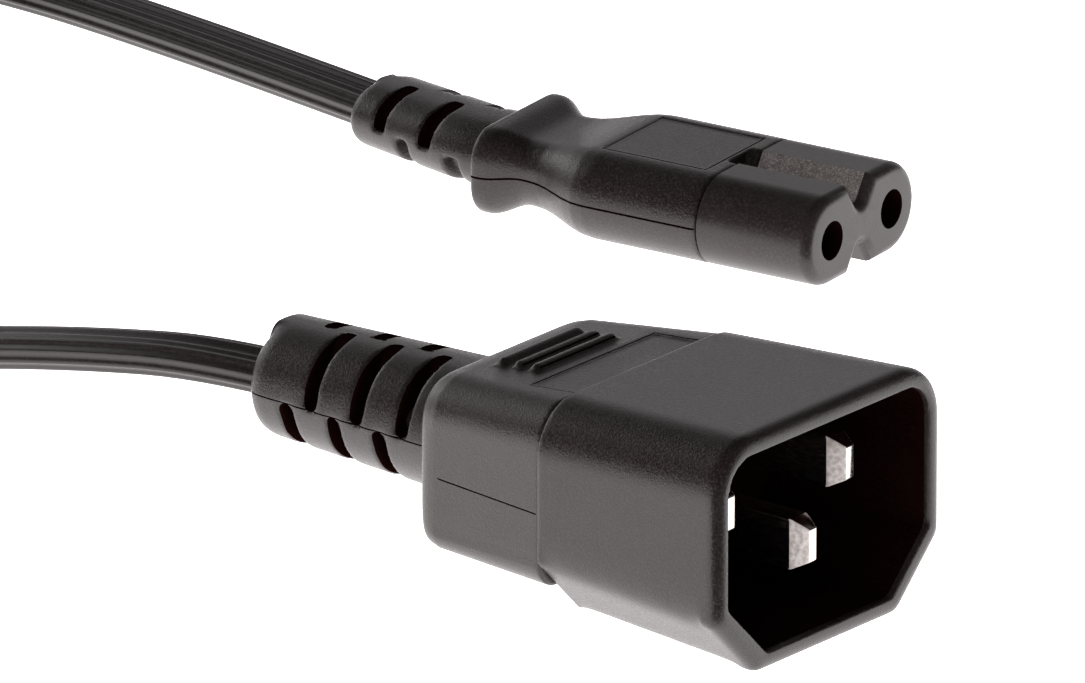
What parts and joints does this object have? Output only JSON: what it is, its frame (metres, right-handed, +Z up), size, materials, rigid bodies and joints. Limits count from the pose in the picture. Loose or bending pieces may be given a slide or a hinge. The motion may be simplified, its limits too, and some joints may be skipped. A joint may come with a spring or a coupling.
{
  "type": "figure-eight power connector",
  "caption": "Black figure-eight mains connector on a flat ribbed two-core lead that ends in a shrouded three-blade plug, with the spare length tied in a coil.",
  "frame": {"origin": "on the surface the connector lies on, under the middle of the connector's own box", "axes": "+X along the connector towards its two-hole face, +Y across to the left hole, +Z up"},
  "size_m": [0.1932, 0.102, 0.0188],
  "materials": {
    "hard_black": "satin moulded, fine grain",
    "soft_black": "matte moulded PVC, fine grain",
    "cord_black": "satin ribbed PVC",
    "tie_black": "matte",
    "core_skin": "matte",
    "contact_metal": "bright",
    "blade_metal": "bright nickel plate"
  },
  "bodies": {
    "root": {"connector_nose": "hard_black", "connector_overmould": "soft_black", "contact_left": "contact_metal", "contact_right": "contact_metal", "core_left": "core_skin", "core_right": "core_skin", "cord_run_connector": "cord_black", "cord_coil": "cord_black", "coil_tie": "tie_black", "cord_run_plug": "cord_black", "plug_shroud": "hard_black", "plug_overmould": "soft_black", "plug_pin_line": "blade_metal", "plug_pin_neutral": "blade_metal", "plug_pin_earth": "blade_metal", "plug_core_line": "core_skin", "plug_core_neutral": "core_skin"}
  },
  "joints": []
}
